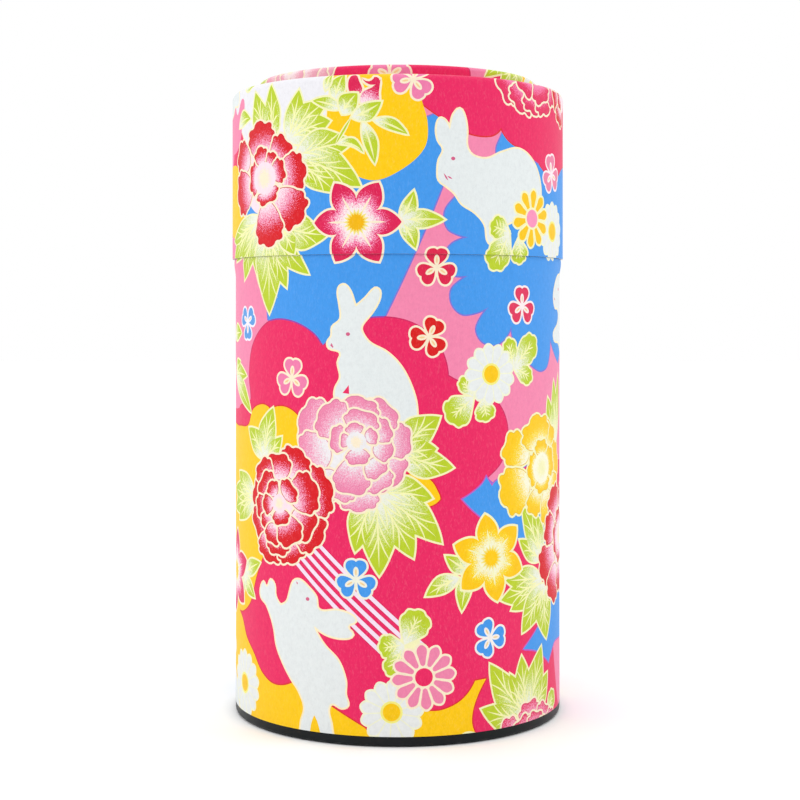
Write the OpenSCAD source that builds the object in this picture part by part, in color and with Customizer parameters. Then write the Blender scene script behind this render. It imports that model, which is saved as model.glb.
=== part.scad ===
// Tea caddy: a tinplate can covered in pasted paper, with an inner press lid
// and an outer sleeve lid. Millimetres, +Z up, origin at the centre of the base.

/* [Can] */
// Outer radius of the tinplate tube
tube_r = 39.95; // [35:0.05:45]
// Height of the mouth's rim above the table
mouth_z = 148.5; // [140:0.5:149]
// Gauge of the tinplate
tin = 0.3; // [0.25:0.05:0.35]
// Radius of the hem that is rolled inwards round the mouth
hem_r = 0.65; // [0.5:0.05:0.8]
// How far the stop bead under the lid stands out from the tube
bead_out = 0.35; // [0.2:0.05:0.4]
// Width of the folded side seam
seam_w = 4; // [3:0.5:6]

/* [Base] */
// Height of the black seamed ring that the can stands on
base_ring_h = 2.4; // [2:0.2:3.2]
// How far the base panel is set in above the table
base_recess = 1.8; // [1.4:0.2:2]

/* [Paper] */
// Thickness of the pasted paper
paper = 0.25; // [0.15:0.05:0.3]

/* [Outer lid] */
// Outer radius over the paper
lid_r = 41; // [40.9:0.1:42]
// Height of the lid's lower edge above the table
lid_foot_z = 111; // [100:1:120]
// Height of the lid's shoulder above the table
shoulder_z = 151.55; // [151.3:0.05:153]
// Radius that rounds the shoulder
shoulder_round = 1.2; // [1:0.1:1.5]
// Radius of the raised round panel on top
plateau_r = 34.4; // [30:0.2:36]
// Full height of the closed caddy
caddy_h = 154.6; // [154.5:0.1:156]

/* [Inner lid] */
// Outer radius of the skirt that plugs the mouth
plug_r = 38.3; // [37.8:0.1:38.4]
// Depth from the flange down to the sunk panel
plug_depth = 7.8; // [6:0.2:10]
// Largest radius of the knob
knob_r = 7.5; // [6:0.5:9]
// Radius of the rivet's shank
rivet_r = 1.5; // [1.2:0.1:1.8]

/* [Hidden] */
$fn = 96;

tinplate = "silver";
enamel = "dimgray";
print_rose = "deeppink";

paper_r = tube_r + paper;
tube_foot_z = 0.9;
ring_round = 1;
bead_z = lid_foot_z - 0.35;
bead_w = 4;
bead_round = 0.5;
bead_crown_z = bead_z - 0.4;
bead_end_z = bead_z + 0.6;
lid_tin_r = lid_r - paper;
lid_tin_z = shoulder_z - paper;
seam_foot_z = base_ring_h + 1;
seam_h = mouth_z - base_ring_h - 3;
recess_r = tube_r - 3.2;
recess_round = 0.6;
ring_land_r = tube_r - 2.5;
disc_r = plateau_r + 3;
brim_r = plateau_r + 4.8;
panel_foot_round = 0.6;
panel_edge_round = 0.9;
flange_r = tube_r - 0.1;
panel_z = mouth_z + tin - plug_depth;
plug_round = 0.8;
boss_z = panel_z + 0.6;
boss_foot_r = plug_r - 9;
boss_r = plug_r - 10;
knob_h = mouth_z + tin - boss_z;
knob_foot_r = 5;
knob_foot_h = 0.8;
knob_waist_r = 3.6;
knob_neck_round = 2;
knob_edge_round = 1.2;
knob_edge_drop = 1.5;
rivet_in_knob = 4;
rivet_head_r = 2 * rivet_r;
rivet_head_h = 1;
rivet_edge_h = 0.6;

// Points along an arc about (cx, cz), from angle a0 to angle a1 in n steps
function arc(cx, cz, r, a0, a1, n = 6) =
    [for (i = [0 : n]) let (a = a0 + (a1 - a0) * i / n) [cx + r * cos(a), cz + r * sin(a)]];

// Unit direction from p to q, and the same turned a quarter to the left
function along(p, q) = (q - p) / norm(q - p);
function left(d) = [-d[1], d[0]];

// The path p moved sideways by t, with mitred corners
function beside(p, t) =
    [for (i = [0 : len(p) - 1])
        let (a = left(along(p[max(i - 1, 0)], p[max(i, 1)])),
             b = left(along(p[min(i, len(p) - 2)], p[min(i + 1, len(p) - 1)])))
        p[i] + t * (a + b) / (1 + a * b)];

function reversed(p) = [for (i = [len(p) - 1 : -1 : 0]) p[i]];

// A sheet of thickness t to the left of the path p, turned round the axis
module turned_sheet(p, t) {
    rotate_extrude() polygon(concat(p, reversed(beside(p, t))));
}

// Outer face of the tube between two heights, with the stop bead under the lid
function tube_face(z0, z1) = concat(
    [[tube_r, z0], [tube_r, bead_z - bead_w]],
    [[tube_r + 0.3 * bead_out, bead_z - 0.6 * bead_w]],
    arc(tube_r + bead_out - bead_round, bead_crown_z, bead_round, 0, 60, 3),
    z1 > bead_end_z ? [[tube_r, bead_end_z], [tube_r, z1]] : []);

// Outer face of the lid's tinplate, from its foot over the shoulder to radius r
function lid_face(r) = concat(
    [[lid_tin_r, lid_foot_z]],
    arc(lid_tin_r - shoulder_round, lid_tin_z - shoulder_round, shoulder_round, 0, 90),
    [[r, lid_tin_z]]);

// Upper face of the stamped top, from the brim over the raised panel to radius r_in
function top_face(r_out, r_in, z_up) = concat(
    [[r_out, lid_tin_z]],
    reversed(arc(plateau_r - paper + panel_foot_round, lid_tin_z + panel_foot_round,
                 panel_foot_round, 180, 270, 3)),
    arc(plateau_r - paper - panel_edge_round, z_up - panel_edge_round, panel_edge_round, 0, 90, 5),
    [[r_in, z_up]]);

// Tinplate tube: rolled hem at the mouth, lapped side seam at the back
module body_shell() {
    color(tinplate) {
        turned_sheet(tube_face(tube_foot_z, mouth_z - hem_r), tin);
        rotate_extrude()
            translate([tube_r - hem_r, mouth_z - hem_r])
                difference() {
                    circle(hem_r);
                    circle(hem_r - tin);
                    translate([-2 * hem_r, -2 * hem_r]) square([3 * hem_r, 2 * hem_r]);
                }
        seam_turn = 360 * seam_w / (2 * PI * tube_r);
        rotate(90 - seam_turn / 2)
            rotate_extrude(angle = seam_turn)
                translate([tube_r - 2 * tin, seam_foot_z])
                    square([1.5 * tin, seam_h]);
    }
}

// Stamped base: its edge clasps the foot of the tube in a black ring
module base_plate() {
    color(enamel)
        rotate_extrude()
            polygon(concat(
                [[0, base_recess]],
                arc(recess_r, base_recess - recess_round, recess_round, 90, 0, 4),
                [[ring_land_r, 0]],
                arc(paper_r - ring_round, ring_round, ring_round, -90, 0),
                [[paper_r, base_ring_h], [tube_r, base_ring_h], [tube_r, tube_foot_z],
                 [tube_r - tin, tube_foot_z], [tube_r - tin, base_ring_h],
                 [tube_r - 2 * tin, base_ring_h], [tube_r - 6 * tin, base_recess + tin],
                 [0, base_recess + tin]]));
}

// Printed paper pasted round the tube, from the black ring up to the lid
module body_paper() {
    color(print_rose)
        turned_sheet(tube_face(base_ring_h, bead_z), -paper);
}

// Sleeve of the outer lid, its top edge turned in as a flange
module lid_shell() {
    color(tinplate)
        turned_sheet(lid_face(brim_r), tin);
}

// Stamped top of the outer lid with its raised round panel
module lid_top_plate() {
    color(tinplate)
        turned_sheet(top_face(brim_r, 0, caddy_h - paper), tin);
}

// Printed paper round the lid, turned over the shoulder
module lid_side_paper() {
    color(print_rose)
        turned_sheet(lid_face(disc_r), -paper);
}

// Printed paper disc pressed down over the raised panel
module lid_top_paper() {
    color(print_rose)
        turned_sheet(top_face(disc_r, 0, caddy_h - paper), -paper);
}

// Pressed plug lid: a flange on the mouth, a skirt and a sunk panel
module inner_lid_plate() {
    color(tinplate)
        difference() {
            turned_sheet(concat(
                [[flange_r, mouth_z + tin], [plug_r - tin, mouth_z + tin]],
                arc(plug_r - tin - plug_round, panel_z + plug_round, plug_round, 0, -90, 4),
                [[boss_foot_r, panel_z], [boss_r, boss_z], [0, boss_z]]), tin);
            cylinder(r = rivet_r, h = 3 * mouth_z, center = true);
        }
}

// Turned knob with a blind hole for the rivet
module inner_lid_knob() {
    color(tinplate)
        difference() {
            rotate_extrude()
                polygon(concat(
                    [[0, boss_z], [knob_foot_r, boss_z], [knob_foot_r, boss_z + knob_foot_h]],
                    arc(knob_waist_r + knob_neck_round, boss_z + knob_foot_h + 0.9 * knob_neck_round,
                        knob_neck_round, 245, 180, 3),
                    arc(knob_r - knob_edge_round, boss_z + knob_h - knob_edge_drop, knob_edge_round,
                        -50, 90, 6),
                    [[0, boss_z + knob_h]]));
            translate([0, 0, boss_z - tin])
                cylinder(r = rivet_r, h = tin + rivet_in_knob);
        }
}

// Rivet that holds the knob to the plug lid, its domed head underneath
module inner_lid_rivet() {
    under_z = boss_z - tin;
    color(tinplate) {
        translate([0, 0, under_z - rivet_edge_h / 2])
            cylinder(r = rivet_r, h = rivet_edge_h / 2 + rivet_in_knob);
        rotate_extrude()
            polygon([[0, under_z], [rivet_head_r, under_z],
                     [0.85 * rivet_head_r, under_z - rivet_edge_h],
                     [0.5 * rivet_head_r, under_z - rivet_head_h], [0, under_z - 1.1 * rivet_head_h]]);
    }
}

body_shell();
base_plate();
body_paper();
lid_shell();
lid_top_plate();
lid_side_paper();
lid_top_paper();
inner_lid_plate();
inner_lid_knob();
inner_lid_rivet();
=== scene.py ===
import math

import bmesh
import bpy
import numpy as np
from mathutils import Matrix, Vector
from mathutils.geometry import delaunay_2d_cdt


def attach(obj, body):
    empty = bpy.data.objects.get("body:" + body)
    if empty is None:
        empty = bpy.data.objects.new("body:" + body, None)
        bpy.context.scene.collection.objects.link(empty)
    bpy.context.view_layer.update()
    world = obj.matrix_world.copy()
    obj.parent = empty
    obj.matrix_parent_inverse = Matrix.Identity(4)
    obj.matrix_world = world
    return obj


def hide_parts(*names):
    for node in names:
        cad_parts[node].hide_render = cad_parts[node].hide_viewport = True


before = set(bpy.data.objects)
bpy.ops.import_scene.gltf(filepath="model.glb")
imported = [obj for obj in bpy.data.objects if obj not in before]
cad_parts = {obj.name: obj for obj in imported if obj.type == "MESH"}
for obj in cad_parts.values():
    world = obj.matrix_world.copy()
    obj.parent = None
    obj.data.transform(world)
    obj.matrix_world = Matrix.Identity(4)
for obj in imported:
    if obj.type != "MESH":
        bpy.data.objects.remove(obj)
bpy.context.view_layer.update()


# ---------------------------------------------------------------- camera
# A level view from in front, a little above the middle of the caddy. The lens is
# raised in its mount instead of tilted, so the sides of the can stay upright.
lens_distance = 0.4025
lens_height = 0.097
camera_data = bpy.data.cameras.new("camera")
camera_data.sensor_width = 36.0
camera_data.lens = 72.55
camera_data.shift_x = 0.0029
camera_data.shift_y = -0.1048
camera = bpy.data.objects.new("camera", camera_data)
camera.location = (0.0, -lens_distance, lens_height)
camera.rotation_euler = (math.radians(90), 0.0, 0.0)
bpy.context.scene.collection.objects.link(camera)
bpy.context.scene.camera = camera


# ---------------------------------------------------------------- studio
# A white sweep under a bright even surround, with a soft overhead light and a softbox
# at each side, so that print colours read true and the metal has something to show.
bpy.context.scene.view_settings.view_transform = "Standard"
surround = bpy.data.worlds.new("surround")
surround.use_nodes = True
surround.node_tree.nodes["Background"].inputs["Color"].default_value = (1.0, 1.0, 1.0, 1.0)
surround.node_tree.nodes["Background"].inputs["Strength"].default_value = 1.0
bpy.context.scene.world = surround


def nodes_of(material):
    """The node tree of a new material and its surface shader."""
    material.use_nodes = True
    tree = material.node_tree
    return tree, tree.nodes["Principled BSDF"]


floor_size = 6.0
floor_mesh = bmesh.new()
bmesh.ops.create_grid(floor_mesh, x_segments=2, y_segments=2, size=floor_size / 2)
floor_data = bpy.data.meshes.new("floor")
floor_mesh.to_mesh(floor_data)
floor_mesh.free()
floor = bpy.data.objects.new("floor", floor_data)
bpy.context.scene.collection.objects.link(floor)
sweep_white = bpy.data.materials.new("sweep_white")
tree, shader = nodes_of(sweep_white)
shader.inputs["Base Color"].default_value = (0.93, 0.93, 0.93, 1.0)
shader.inputs["Roughness"].default_value = 0.9
shader.inputs["Specular IOR Level"].default_value = 0.1
floor_data.materials.append(sweep_white)

overhead = bpy.data.lights.new("overhead", "SUN")
overhead.energy = 0.8
overhead.angle = math.radians(60)
overhead_lamp = bpy.data.objects.new("overhead", overhead)
overhead_lamp.location = (0.0, 0.0, 1.0)
bpy.context.scene.collection.objects.link(overhead_lamp)


def softbox(name, place, aim, size, power):
    """A square area light at place, turned to face aim."""
    light = bpy.data.lights.new(name, "AREA")
    light.size = size
    light.energy = power
    lamp = bpy.data.objects.new(name, light)
    lamp.location = place
    lamp.rotation_euler = (Vector(aim) - Vector(place)).to_track_quat("-Z", "Y").to_euler()
    bpy.context.scene.collection.objects.link(lamp)


middle = (0.0, 0.0, 0.08)
softbox("left_light", (-0.9, -0.2, 0.35), middle, 0.5, 1.2)
softbox("right_light", (0.9, -0.2, 0.35), middle, 0.5, 0.8)


# ---------------------------------------------------------------- print: inks and outlines
# The paper is screen printed in flat inks: big clouds of ground colour first, then
# flowers, leaves and rabbits, each held by a cream line where the paper is left bare.
# Places are in millimetres on the unrolled sheet: x to the right from the middle of
# the front, y up from the table.
soaked = 0.89


def ink(red, green, blue):
    """A print colour given in the usual 0 to 255 values, as scene-linear light. Ink
    sinks into the soft paper, so it comes out a little darker than its swatch."""
    return tuple(soaked * (c / 255 / 12.92 if c < 11 else ((c / 255 + 0.055) / 1.055) ** 2.4)
                 for c in (red, green, blue))


rose = ink(236, 36, 98)
blue = ink(66, 153, 236)
pink = ink(244, 136, 174)
yellow = ink(255, 204, 0)
cloud_white = ink(238, 237, 242)
cream = ink(250, 236, 206)
blue_over_pink = ink(120, 118, 214)
rose_over_yellow = ink(222, 44, 48)
rose_over_blue = ink(150, 66, 168)
rose_over_pink = ink(208, 36, 96)
blue_over_rose = ink(186, 92, 196)
bar_edge = ink(206, 30, 84)

grounds = []
motifs = []
printing = grounds


def lay(outline, edge, middle=None, heart=None, spot=(0.0, 0.0), reach=1.0, start=0.0,
        squeeze=1.0, turn=0.0, keep_off=()):
    """Prints one shape. It fades from the heart colour at spot, through the middle
    colour, to the edge colour at the distance reach; squeeze shortens the fade
    across the direction turn. It leaves alone what the inks in keep_off have covered."""
    middle = middle or edge
    printing.append((np.asarray(outline, float), (heart or middle, middle, edge),
                     np.array(spot, float), reach, start, squeeze, turn, keep_off))


def curve(*knots, step=0.7):
    """A closed outline through knots, smooth at (x, y) and cornered at (x, y, 1)."""
    places = [np.array(k[:2], float) for k in knots]
    cornered = [len(k) == 3 for k in knots]
    count = len(knots)
    outline = []
    for i in range(count):
        j = (i + 1) % count
        chord = places[j] - places[i]
        length = np.linalg.norm(chord)
        along = chord / length

        def heading(k):
            """The direction in which the outline passes a smooth knot."""
            way = places[(k + 1) % count] - places[k - 1]
            return way / np.linalg.norm(way)

        leave = None if cornered[i] else heading(i)
        arrive = None if cornered[j] else heading(j)
        if leave is None:
            leave = along if arrive is None else 2 * along * (along @ arrive) - arrive
        if arrive is None:
            arrive = 2 * along * (along @ leave) - leave
        steps = max(3, round(length / step))
        for t in np.arange(steps) / steps:
            outline.append(places[i] * (1 + 2 * t) * (1 - t) ** 2 + leave * length * t * (1 - t) ** 2
                           + places[j] * t * t * (3 - 2 * t) + arrive * length * t * t * (t - 1))
    return np.array(outline)


def anticlockwise(outline):
    """The outline, turned to run anticlockwise."""
    x, y = outline.T
    area = np.sum(x * np.roll(y, -1) - y * np.roll(x, -1))
    return outline if area > 0 else outline[::-1]


def grown(outline, by):
    """The outline moved outwards by a distance, or inwards if it is negative."""
    p = anticlockwise(np.asarray(outline, float))
    ahead = np.roll(p, -1, 0) - p
    ahead /= np.maximum(np.linalg.norm(ahead, axis=1, keepdims=True), 1e-9)
    behind = np.roll(ahead, 1, 0)
    out = np.stack([ahead[:, 1] + behind[:, 1], -ahead[:, 0] - behind[:, 0]], 1)
    return p + by * out / np.maximum(1 + np.sum(ahead * behind, 1, keepdims=True), 0.6)


def oval(x, y, long, wide, turn=0.0, count=28):
    """An ellipse with its long half-axis at turn degrees."""
    t = 2 * math.pi * np.arange(count) / count
    a = math.radians(turn)
    u, v = long * np.cos(t), wide * np.sin(t)
    return np.stack([x + u * math.cos(a) - v * math.sin(a), y + u * math.sin(a) + v * math.cos(a)], 1)


def point(x, y, out, degrees):
    """The point at a distance from (x, y) in a direction."""
    return x + out * math.cos(math.radians(degrees)), y + out * math.sin(math.radians(degrees))


# ---------------------------------------------------------------- print: clouds
# Rounded clouds of flat colour fill the ground. Inks overlap a hair where two clouds
# meet, which leaves a thin darker line.
overlap = 0.34
overlap_on_pink = 0.28


def cloud(colour, overprint, *knots, over_pink=None):
    """One cloud, with the darker inks of its overlap on what is already printed."""
    shape = curve(*knots)
    if over_pink:
        lay(grown(shape, overlap_on_pink), over_pink, keep_off=(colour, blue, yellow, cloud_white))
    keep_off = (colour, pink, over_pink) if over_pink else (colour,)
    lay(grown(shape, overlap), overprint, keep_off=keep_off)
    lay(shape, colour)


# pink and blue behind everything
cloud(pink, pink, (-75, 112), (-38, 113), (-34, 98), (-37, 84), (-44, 78), (-60, 76), (-75, 84))
cloud(blue, blue_over_pink, (-52, 118), (-50, 114), (-41, 120), (-37, 110), (-34.6, 97.2, 1),
      (-20, 92), (-10, 92), (-1, 96), (6, 114), (12, 126), (22, 141), (10, 146), (-10, 150), (-30, 140),
      (-45, 128))
cloud(pink, blue_over_pink, (-3, 97, 1), (5, 114), (13, 134, 1), (16, 141), (24, 142), (30, 139),
      (28, 128), (26, 116), (28, 106), (34, 99), (44, 94), (62, 93), (66, 76), (58, 70), (44, 66),
      (30, 62), (23, 60), (12, 76), (8, 88), (-2, 94))
cloud(blue, blue_over_pink, (20.4, 115.9, 1), (12, 117), (10.6, 121), (13, 124.6), (17, 128),
      (23.4, 133), (23.7, 136.4), (25, 139), (26, 141, 1), (28, 138), (40, 133), (64, 134),
      (76, 112), (66, 88), (60, 86), (52, 87.4), (46, 92.6, 1), (44.5, 86.6), (41, 85), (37, 86),
      (31, 90), (28.8, 95.5, 1), (25, 91.6), (20.4, 92), (18.8, 95.6), (24.4, 101.4, 1), (16, 98.2),
      (12.6, 100.6), (13, 104.6), (21.2, 108.5, 1), (12, 107.2), (10.5, 111), (13, 114.6))
cloud(pink, blue_over_pink, (11.5, 146, 1), (4, 142.4), (6, 145.6), (10, 147))
cloud(pink, pink, (44, 69), (52, 84), (66, 90), (75, 78), (66, 64))
cloud(rose, rose_over_yellow, (4, 146.8, 1), (10, 142.5), (16, 139.4), (22, 139), (25, 141, 1),
      (29, 137.4), (36, 137), (39, 133.2), (46, 130.6), (54, 133.8), (70, 138), (75, 150),
      (62, 166), (20, 168), (0, 158))
cloud(yellow, yellow, (-15, 158), (-17, 149), (-16.8, 143), (-15, 138), (-12, 132), (-6, 128.7),
      (0, 130.6), (5.6, 135.6), (6.4, 141), (5, 146.4), (2, 158))
cloud(cloud_white, cream, (-47, 143), (-52, 150), (-46, 157), (-34, 160), (-20, 156), (-16, 151.4),
      (-16.4, 146), (-18, 139.6), (-30, 134), (-40, 136))
cloud(yellow, yellow, (-52, 134), (-46, 130), (-44, 124), (-47, 119), (-53, 117), (-62, 121),
      (-64, 131))
cloud(pink, pink, (-50, 146), (-45.4, 149.4), (-46.6, 145, 1), (-50, 138), (-60, 140), (-62, 150),
      (-54, 153))

# rose clouds across the middle
cloud(rose, rose_over_blue, (-17.8, 90.6, 1), (-20.5, 94), (-26.5, 96.6), (-33, 96.8), (-38, 94.4),
      (-42, 90), (-43.4, 84), (-42.6, 77), (-48, 70), (-44, 62), (-20, 60), (0, 60), (6, 76),
      (-6, 84), over_pink=rose_over_pink)
cloud(rose, rose_over_blue, (-17.8, 90.6, 1), (-14, 94), (-8, 97), (-1, 97.4), (5, 95.4), (9.6, 91),
      (11.6, 84.4, 1), (17, 81.6), (24.4, 78.2), (27.6, 72), (26, 65), (21, 60.6), (15.4, 56.4, 1),
      (20, 52), (21.4, 44, 1), (26, 38), (27.4, 31), (34, 24), (38, 20.4, 1), (42, 17), (45, 14),
      (47, 3), (40, -12), (18, -10), (17.4, 5), (19, 10), (24, 14.6), (18.4, 15, 1), (14, 10.6),
      (8, 9.2), (2, 9), (-8, 5.4, 1), (-14, 10), (-20, 14), (-26, 13.4), (-32, 12.4), (-37, 14),
      (-41, 18.4), (-45, 21.8), (-46.4, 28), (-42, 34), (-37, 39), (-30, 40), (-22, 56), (-14, 70),
      over_pink=rose_over_pink)
cloud(rose, rose_over_yellow, (-49, 76.4), (-44, 75.6), (-43, 72.6), (-46, 71.6), (-50, 72), (-52, 74))

# yellow on the left, under the leaves and along the foot
cloud(yellow, rose_over_yellow, (-44, 72), (-41.6, 75.6), (-37, 77.2), (-33.6, 76.2, 1), (-29, 77),
      (-25, 75.4), (-22.6, 72), (-26, 60), (-32, 48), (-38, 39.4), (-41, 33.4, 1), (-44, 29),
      (-50, 27), (-60, 30), (-74, 50), (-64, 70), (-50, 71.4))
cloud(yellow, rose_over_yellow, (-7.6, 5.2, 1), (-15.8, 9.6), (-20, 12), (-26, 13.8, 1),
      (-32, 12.4), (-37, 14.4), (-41, 18.4), (-45, 21.4), (-49, 26), (-62, 30), (-76, 12),
      (-70, -8), (-30, -14), (-8, -10))
cloud(yellow, rose_over_yellow, (4, 8.8), (10, 9), (15, 11), (18.4, 15, 1), (21.4, 15.2, 1), (18.4, 10),
      (17.6, 5.6), (19, 1.6), (21, -6), (4, -12), (-6, -4), (0, 6))
cloud(yellow, rose_over_yellow, (3, 62.6), (7.4, 61), (9.4, 58), (9.8, 56.6, 1), (6, 55), (1, 58))
cloud(blue, blue_over_rose, (15.2, 56.4, 1), (19.8, 59.2), (21.4, 61.2, 1), (23, 59, 1), (26, 60.6),
      (34, 58), (48, 50), (52, 43), (40, 40), (31.4, 46), (27, 48.4), (24, 50), (19.6, 52.4))
cloud(blue, blue_over_rose, (33, 20.4, 1), (40, 25.4), (44, 29), (52, 31), (62, 29), (66, 20),
      (58, 19.4), (50, 19.6), (47, 17.6), (45, 15.4, 1), (42, 17.4), (38.6, 19.2))

printing = motifs


# ---------------------------------------------------------------- print: stripes
# Five pale bars cross the rose ground on a slant, from under the red peony.
bar_mauve = ink(247, 226, 244)
bar_count = 5
bar_pitch = 1.75
bar_wide = 0.95
bar_length = np.array([25.8, -23.2])
across = np.array([0.66, 0.75]) * bar_wide / 2
for bar in range(bar_count):
    slide = bar_pitch * bar
    near = np.array([-26.4 + slide, 42.6 + 0.55 * slide])
    far = near + bar_length
    outline = [near - across, far - across, far + across, near + across]
    lay(grown(outline, 0.14), bar_edge)
    lay(outline, bar_mauve)


# ---------------------------------------------------------------- print: rabbits
# White rabbits: bare paper inside a thin cream line, a pink eye and a pink nose.
rabbit_white = ink(229, 235, 235)
rabbit_line = ink(252, 238, 196)
rabbit_pink = ink(214, 96, 136)


def sliver(x0, y0, x1, y1, wide, bow=0.0):
    """A thin tapering stroke that bows to its left."""
    dx, dy = x1 - x0, y1 - y0
    length = math.hypot(dx, dy)
    mx, my = (x0 + x1) / 2 - dy / length * bow, (y0 + y1) / 2 + dx / length * bow
    sx, sy = -dy / length * wide / 2, dx / length * wide / 2
    return curve((x0, y0, 1), (mx - sx, my - sy), (x1, y1, 1), (mx + sx, my + sy), step=1.2)


def rabbit(outline, eye, *strokes):
    """A rabbit with its eye at a place, and strokes from place to place for its nose."""
    lay(grown(outline, 0.3), rabbit_line)
    lay(grown(outline, -0.14), rabbit_white)
    lay(oval(*eye, 0.5, 0.42), rabbit_pink)
    for stroke in strokes:
        lay(sliver(*stroke, 0.36), rabbit_pink)


crouching = curve((9.4, 142.4), (8.6, 140), (9, 137.4), (10.2, 135.4), (9.2, 133), (8.9, 130.6),
                  (9.2, 128.4), (11, 127), (12.8, 125.6), (14.6, 123.2), (18, 121.2), (20.4, 118.6),
                  (21.4, 114.6), (24, 114.4), (25.6, 118), (30, 120), (36, 121), (39, 125),
                  (38.6, 130), (35.4, 134.4), (30.4, 136.6), (25, 135.4), (21, 133.8),
                  (17.4, 134.4), (16, 136.4), (16, 140), (15.4, 143.2), (14.2, 144.8),
                  (12.6, 143.4), (12, 141.4), (11.8, 140, 1), (10.8, 142))
sitting = curve((-13.6, 104.6), (-12.2, 105), (-10.8, 103.4), (-9.8, 100.6), (-9.6, 100.2, 1),
                (-7.4, 102), (-5.2, 104.2), (-4, 103.6), (-4.2, 101.4), (-6, 98.4), (-8, 96),
                (-8.2, 94.6), (-6.4, 92), (-2.4, 89.8), (0.8, 86.6), (3.2, 82), (4.4, 77.4),
                (4, 72.6), (0, 68), (-8, 68), (-13, 74), (-14.8, 79.6), (-14.6, 81.6), (-13.4, 84),
                (-14, 87.4), (-13.4, 89.6), (-16.2, 90.6), (-16.6, 92), (-15.6, 93.4),
                (-15.4, 95.4), (-13.4, 97.2), (-13.6, 100.6), (-14, 103))
reaching = curve((-37.8, 34), (-36.4, 35.8), (-35, 34.8), (-33.6, 36.6), (-32, 35.6), (-31.6, 33),
                 (-30, 31.2, 1), (-28, 32.2), (-27.2, 34.2), (-26, 37), (-24, 37.6), (-21.4, 36),
                 (-19.4, 34), (-18.6, 31.2), (-14, 31.4), (-10.4, 30.4), (-9.6, 29), (-11.4, 27.8),
                 (-10.2, 26), (-12, 25), (-16.4, 25.4), (-20, 27.2, 1), (-17.4, 23.4), (-13.8, 20),
                 (-12, 15.6), (-12, 12.4), (-11.4, 10), (-13, 9.2), (-15.4, 10), (-16.2, 8.4),
                 (-15.4, 5), (-15.6, 0), (-23.4, 0), (-23.8, 4.6), (-22.8, 8.4), (-24.4, 12),
                 (-26.6, 14.4), (-29, 17.4), (-31.4, 21.4), (-32.6, 26), (-35.2, 30.4), (-37.6, 32))
rabbit(crouching, (12.6, 133.4), (10.4, 130, 11.4, 128.4), (11.2, 129.4, 12.4, 128.8))
rabbit(sitting, (-11.5, 93.8), (-15.9, 91.4, -15, 90.8), (-15.6, 91.8, -15.2, 90.6))
rabbit(reaching, (-21.8, 33.3), (-25, 37, -24.6, 36.4))
# ground that shows between two rabbits' legs
lay(curve((-20, 7, 1), (-18.8, 4.6), (-18.4, 1), (-20.8, 1), (-21, 4)), yellow)
lay([(-12.8, 80.5), (-11.2, 80.3), (-11.3, 82.3)], rose)
leaping = curve((48.6, 102.6), (50.4, 105.8), (53.6, 107.8), (57, 108.2), (62, 111.8),
                (67.4, 114.2), (69.6, 112.8), (67, 109.8), (64, 107.6, 1), (68.6, 108.4),
                (71.6, 106.8), (69, 104.6), (63.6, 103.8), (66, 102.6), (72, 99.6), (76.4, 93.4),
                (77, 87.4), (79.4, 85.6), (78.6, 83), (75.4, 83), (73, 81.4), (66.4, 81),
                (65.4, 83), (68, 84.8), (64, 87.6), (59, 89), (54, 91.4), (49.4, 92), (48.6, 93.8),
                (52.6, 95.8), (54.4, 97.8), (53, 99.6), (50, 100))
rabbit(leaping, (54.4, 104.4), (49.2, 102.4, 50.2, 101.6))


# ---------------------------------------------------------------- print: leaves
# Lime leaves, sprayed thin to bare paper at the root, with pale yellow veins.
lime = ink(188, 209, 40)
lime_pale = ink(214, 227, 140)
leaf_white = ink(238, 241, 226)
vein = ink(245, 245, 178)
leaf_line = ink(246, 244, 190)


def in_leaf(root, tip, bow):
    """Gives the function for places in a leaf: parts of its length along its bowed
    midrib, and millimetres across it."""
    (x0, y0), (x1, y1) = root, tip
    dx, dy = x1 - x0, y1 - y0
    length = math.hypot(dx, dy)
    nx, ny = -dy / length, dx / length

    def at(along, across):
        lean = bow * math.sin(math.pi * along)
        return x0 + dx * along + nx * (across + lean), y0 + dy * along + ny * (across + lean)

    return at


def blade(root, tip, wide, bow):
    """The outline of one pointed leaf."""
    at = in_leaf(root, tip, bow)
    half = wide / 2
    return curve((*root, 1), at(0.25, -0.8 * half), at(0.52, -half), at(0.8, -0.55 * half), (*tip, 1),
                 at(0.8, 0.55 * half), at(0.52, half), at(0.25, 0.8 * half), step=0.9)


def veins(root, tip, wide, bow, pairs):
    """The midrib of a pointed leaf and its side veins."""
    at = in_leaf(root, tip, bow)
    lay(sliver(*at(0.1, 0), *at(0.9, 0), 0.44, 0.3 * bow), vein)
    for k in range(pairs):
        start = 0.16 + 0.5 * k / pairs
        for side in (-1, 1):
            lay(sliver(*at(start, 0), *at(start + 0.34, side * 0.34 * wide), 0.36, -side * 0.35), vein)


def spray(root, *tips, fade=0.96, pairs=3):
    """Leaves that share a root; each tip is (x, y, width) or (x, y, width, bow). A
    narrow leaf has at most two pairs of side veins."""
    broad = 6.0
    blades = [(root, t[:2], t[2], t[3] if len(t) > 3 else 0.0) for t in tips]
    for b in blades:
        lay(grown(blade(*b), 0.4), leaf_line)
    for b in blades:
        reach = math.dist(b[0], b[1])
        lay(grown(blade(*b), -0.05), lime, lime_pale, leaf_white, root, reach * fade, 0.14)
    for b in blades:
        veins(*b, min(pairs, 3 if b[2] > broad else 2))


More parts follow.
